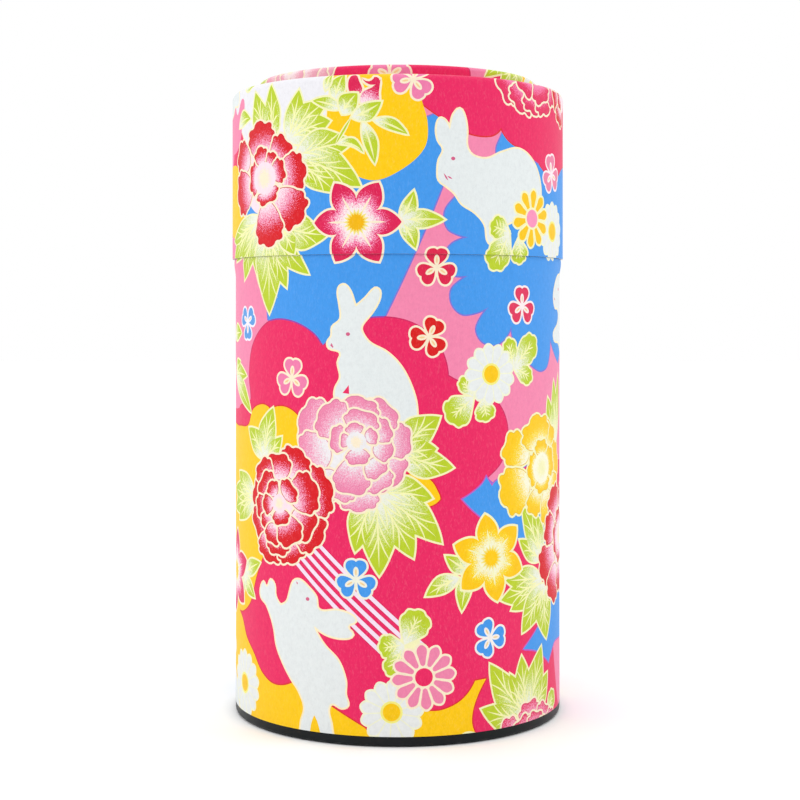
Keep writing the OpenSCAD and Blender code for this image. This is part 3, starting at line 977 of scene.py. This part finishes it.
thin_ink = (0.86, 0.86, 0.87, 1.0)
colour = blend(tree, scaled(tree, band(tree, cloudy, 0.35, 0.75), 0.5), colour,
               blend(tree, 1.0, colour, thin_ink, "MULTIPLY"))
fibres = noise(tree, stretched(tree, places, 0.35), 2800.0, 3.0, Distortion=1.2)
pale_fibre = (0.86, 0.86, 0.88, 1.0)
fibre_shade = (0.82, 0.82, 0.83, 1.0)
colour = blend(tree, scaled(tree, band(tree, fibres, 0.5, 0.72), 0.035), colour, pale_fibre)
colour = blend(tree, scaled(tree, band(tree, fibres, 0.5, 0.3), 0.24), colour,
               blend(tree, 1.0, colour, fibre_shade, "MULTIPLY"))
tree.links.new(colour, shader.inputs["Base Color"])
tree.links.new(scaled(tree, cloudy, 0.16, 0.58), shader.inputs["Roughness"])
shader.inputs["Specular IOR Level"].default_value = 0.14
shader.inputs["Sheen Weight"].default_value = 0.1
relief = maths(tree, "ADD", scaled(tree, fibres, 0.6), scaled(tree, dots, 0.4))
emboss(tree, shader, relief, 0.25, 0.00012)


# ---------------------------------------------------------------- body paper and lid paper
# One printed sheet goes round the can and, cut from the same roll so that the pattern
# runs on, one goes round the lid. Each laps over itself at the back; the lid's sheet
# is turned over the shoulder, and the body's sheet swells over the bead under the lid.
sheet_r = 40.6
body_r = 40.2
lid_r = 41.0
lid_foot = 111.0
paper_foot = 2.4
bead_top = 110.96
lap = 4.0
lap_rise = 0.12
lap_ramp = 3.0
half_round = math.pi * sheet_r
repeat_up = 77.5
repeat_slip = 12.0
print_drop = 0.85
facet = 3.0
narrowest = 0.3


def repeated(shapes, low, high):
    """The shapes on the front, and again half way round and a repeat up and down."""
    left_up, left_down = repeat_up - repeat_slip, -repeat_up - repeat_slip
    copies = []
    for right, up in ((half_round, repeat_up), (half_round, -repeat_up), (-half_round, left_up),
                      (-half_round, left_down), (0, 0)):
        move = (right, up - print_drop)
        for outline, inks, spot, *rest in shapes:
            moved = outline + move
            (x0, y0), (x1, y1) = moved.min(0), moved.max(0)
            if x1 > -half_round and x0 < half_round + lap and y1 > low and y0 < high:
                copies.append((moved, inks, spot + move, *rest))
    return copies


def round_sheet(name, low, high, heights, profile):
    """A printed sheet bent round the caddy, from low to high before it is turned over.
    heights are the folds across it. profile gives, at a height on the flat sheet, the
    radius and height of the tin there and which way its face leans."""
    shapes = repeated(grounds, low, high) + repeated(motifs, low, high)
    left, right = -half_round, half_round + lap
    turns = [math.radians(a) * sheet_r for a in np.arange(-180 + facet, 180 + 2 * facet, facet)]
    turns = [x for x in turns if x < right - narrowest]
    edges = [((left, low), (right, low)), ((right, low), (right, high)), ((right, high), (left, high)),
             ((left, high), (left, low))]
    edges += [((x, low), (x, high)) for x in turns]
    edges += [((left, y), (right, y)) for y in heights]

    def inside(p):
        """Which places lie inside the sheet."""
        return (p[:, 0] > left) & (p[:, 0] < right) & (p[:, 1] > low) & (p[:, 1] < high)

    def bend(x, y, h):
        """Bends the sheet round; its far end climbs over its near end at the lap."""
        r, z, lean_r, lean_z = profile(y)
        rise = lap_rise * np.clip((x - half_round + lap_ramp) / lap_ramp, 0, 1)
        r = r + (h + rise) * lean_r
        angle = x / sheet_r
        return np.stack([r * np.sin(angle), -r * np.cos(angle), z + (h + rise) * lean_z], 1)

    cuts = [((x, 0.0), (1.0, 0.0)) for x in turns] + [((0.0, y), (0.0, 1.0)) for y in heights]
    return pasted_sheet(name, shapes, edges, inside, bend, rose, cuts)


bead_below = 4.6
bead_ramp = 3.6
bead_out = 0.35
tuck_below = 0.7
tuck_in = 0.12


def body_profile(y):
    """Straight up, swelling over the bead and tucked in again at the top edge."""
    swell = np.clip((y - (bead_top - bead_below)) / bead_ramp, 0, 1)
    swell = swell * swell * (3 - 2 * swell)
    tuck = np.clip((y - (bead_top - tuck_below)) / tuck_below, 0, 1)
    return body_r + bead_out * swell - tuck_in * tuck ** 2, y, np.ones_like(y), np.zeros_like(y)


body_paper = round_sheet("printed_body_paper", paper_foot, bead_top,
                         [bead_top - k for k in (0.25, 0.6, 1.2, 2.0, 2.8, 3.6, 4.5)], body_profile)
body_paper.data.materials.append(washi)
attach(body_paper, "can")
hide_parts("body_paper")

shoulder_z = 151.55
shoulder_r = 1.45
turn_start = shoulder_z - shoulder_r
turn_length = shoulder_r * math.pi / 2
side_end_r = 37.4
lid_high = turn_start + turn_length + (lid_r - shoulder_r - side_end_r)


def lid_profile(y):
    """Straight up, round the shoulder and inwards to the foot of the raised panel."""
    angle = np.clip((y - turn_start) / shoulder_r, 0, math.pi / 2)
    flat = np.clip(y - turn_start - turn_length, 0, None)
    up = np.minimum(y, turn_start)
    return (lid_r - shoulder_r + shoulder_r * np.cos(angle) - flat, up + shoulder_r * np.sin(angle),
            np.cos(angle), np.sin(angle))


lid_paper = round_sheet("printed_lid_paper", lid_foot, lid_high,
                        [turn_start + turn_length * k / 8 for k in range(9)], lid_profile)
lid_paper.data.materials.append(washi)
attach(lid_paper, "outer_lid")
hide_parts("lid_side_paper")


# ---------------------------------------------------------------- lid top paper
# A disc of the same paper, pressed over the step of the lid's top. The print runs in
# another direction on it, and a second cut of flowers shows along its front.
plateau_r = 34.4
top_round = 1.0
foot_round = 0.45
ledge_z = shoulder_z
top_z = 154.6
disc_r = side_end_r
wall_high = top_z - ledge_z - top_round - foot_round
arc_top = top_round * math.pi / 2
arc_foot = foot_round * math.pi / 2
top_flat = plateau_r - top_round
rings = [top_flat + arc_top * k / 5 for k in range(6)]
rings += [rings[-1] + wall_high + arc_foot * k / 3 for k in range(4)]
disc_reach = rings[-1] + disc_r - plateau_r - foot_round


def disc_profile(far):
    """Radius, height and outward lean at a distance from the middle of the flat disc."""
    over = np.clip((far - top_flat) / top_round, 0, math.pi / 2)
    down = np.clip(far - top_flat - arc_top, 0, wall_high)
    out = np.clip((far - top_flat - arc_top - wall_high) / foot_round, 0, math.pi / 2)
    ledge = np.clip(far - rings[-1], 0, None)
    r = np.minimum(far, top_flat) + top_round * np.sin(over) + foot_round * (1 - np.cos(out)) + ledge
    z = top_z - top_round * (1 - np.cos(over)) - down - foot_round * np.sin(out)
    lean = over - out
    return r, z, np.sin(lean), np.cos(lean)


def bend_disc(x, y, h):
    """Presses the flat disc down over the step of the lid's top."""
    least = 1e-6
    far = np.maximum(np.hypot(x, y), least)
    r, z, lean_r, lean_z = disc_profile(far)
    r = r + h * lean_r
    return np.stack([r * x / far, r * y / far, z + h * lean_z], 1)


top_shapes = []
slide = np.array([8.0, -78.0])
print_low, print_high = -60, 160
for outline, inks, spot, *rest in (repeated(grounds, print_low, print_high)
                                   + repeated(motifs, print_low, print_high)):
    moved = outline + slide
    if np.hypot(*moved.T).min() < disc_reach:
        top_shapes.append((moved, inks, spot + slide, *rest))
# from here on, shapes are printed on the disc alone
motifs = printing = []


def on_wall(degrees, far=35.0):
    """A place near the disc's rim, at an angle to the right of the front."""
    return point(0, 0, far, degrees - 90)


def along_wall(colour, overprint, first, last):
    """A scalloped cloud that follows the rim between two angles."""
    inner, corner, beyond = 31.0, 34.0, 38.0
    scallop = 1.6
    inside = [first + (last - first) * k / 6 for k in range(1, 6)]
    cloud(colour, overprint, on_wall(first, corner),
          *(on_wall(a, inner + scallop * (k % 2)) for k, a in enumerate(inside)),
          on_wall(last, corner), (*on_wall(last, beyond), 1),
          *(on_wall(a, beyond) for a in reversed(inside)), (*on_wall(first, beyond), 1))


along_wall(pink, pink, 26, 40)
along_wall(rose, rose_over_pink, -24, 28)
along_wall(yellow, rose_over_yellow, 55, 84)
peony(*on_wall(-48, 33.6), pink_petals, ink(240, 172, 190), ink(246, 200, 210), ink(248, 230, 232),
      frill=0.06)
spray(on_wall(60, 30), (*on_wall(36, 36), 4), (*on_wall(44, 38.5), 5), (*on_wall(52, 38.5), 5),
      (*on_wall(40, 33), 4))
clover(*on_wall(-3, 36.6), 5.2, 270, clover_pink)
daisy(*on_wall(70, 37), 5, 13, 8)
top_shapes += motifs
ring_count = 120
spokes = [2 * math.pi * k / ring_count for k in range(ring_count)]
edges = []
for far in [disc_reach] + rings:
    ring = [(far * math.cos(a), far * math.sin(a)) for a in spokes]
    edges += list(zip(ring, ring[1:] + ring[:1]))
edges += [tuple((far * math.cos(a), far * math.sin(a)) for far in (top_flat, disc_reach))
          for a in spokes]


def in_disc(p):
    """Which places lie inside the disc's many-sided rim."""
    half_side = math.pi / ring_count
    turn = np.arctan2(p[:, 1], p[:, 0]) % (2 * half_side) - half_side
    return np.hypot(p[:, 0], p[:, 1]) * np.cos(turn) < disc_reach * math.cos(half_side) - hair


top_paper = pasted_sheet("printed_top_paper", top_shapes, edges, in_disc, bend_disc, rose,
                         [((0.0, 0.0), (math.sin(a), math.cos(a))) for a in spokes[:ring_count // 2:5]])
top_paper.data.materials.append(washi)
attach(top_paper, "outer_lid")
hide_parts("lid_top_paper")


# ---------------------------------------------------------------- tinplate
# The can, its hem, the lid shells, the plug lid and its knob are bright cold-rolled
# tinplate: a faint spangle, fine rolling lines along the sheet and light rub marks.
tinplate = bpy.data.materials.new("bright_tinplate")
tree, shader = nodes_of(tinplate)
places = add(tree, "ShaderNodeTexCoord").outputs["Object"]
spangle = add(tree, "ShaderNodeTexVoronoi", feature="F1", Vector=places, Scale=520.0).outputs["Color"]
patch = add(tree, "ShaderNodeSeparateColor", Color=spangle).outputs["Red"]
rolling = noise(tree, stretched(tree, places, 14.0), 900.0, 4.0, Roughness=0.7)
rubbed = noise(tree, places, 60.0, 6.0, Roughness=0.65)
bright, dim = (0.6, 0.605, 0.615, 1.0), (0.47, 0.48, 0.495, 1.0)
rub_grey = (0.4, 0.395, 0.39, 1.0)
tone = blend(tree, scaled(tree, patch, 0.35), bright, dim)
tone = blend(tree, scaled(tree, band(tree, rubbed, 0.52, 0.7), 0.3), tone, rub_grey)
tree.links.new(tone, shader.inputs["Base Color"])
shader.inputs["Metallic"].default_value = 1.0
tree.links.new(maths(tree, "ADD", scaled(tree, rubbed, 0.16, 0.2), scaled(tree, rolling, 0.1)),
               shader.inputs["Roughness"])
emboss(tree, shader, rolling, 0.12, 0.00005)
for node in ("body_shell", "lid_shell", "lid_top_plate", "inner_lid_plate", "inner_lid_knob",
             "inner_lid_rivet"):
    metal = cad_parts[node]
    metal.data.materials.clear()
    metal.data.materials.append(tinplate)


# ---------------------------------------------------------------- black base ring
# The stamped base is black enamelled tin. The stove finish is a soft satin with a
# faint orange-peel skin, and it is scuffed to grey where the ring stands on the table.
enamel = bpy.data.materials.new("black_enamel")
tree, shader = nodes_of(enamel)
places = add(tree, "ShaderNodeTexCoord").outputs["Object"]
skin = noise(tree, places, 1500.0, 3.0)
scuffs = noise(tree, places, 240.0, 7.0, Roughness=0.75)
scuffed_to = 0.0008
above = add(tree, "ShaderNodeSeparateXYZ", Vector=places).outputs["Z"]
worn = maths(tree, "MULTIPLY", band(tree, scuffs, 0.5, 0.72), band(tree, above, scuffed_to, 0.0))
black, soft_black = (0.003, 0.0045, 0.0055, 1.0), (0.008, 0.0105, 0.0125, 1.0)
scuff_grey = (0.16, 0.16, 0.16, 1.0)
tone = blend(tree, worn, blend(tree, scuffs, black, soft_black), scuff_grey)
tree.links.new(tone, shader.inputs["Base Color"])
tree.links.new(scaled(tree, scuffs, 0.22, 0.3), shader.inputs["Roughness"])
shader.inputs["Specular IOR Level"].default_value = 0.16
emboss(tree, shader, skin, 0.15, 0.00005)
base_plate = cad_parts["base_plate"]
base_plate.data.materials.clear()
base_plate.data.materials.append(enamel)
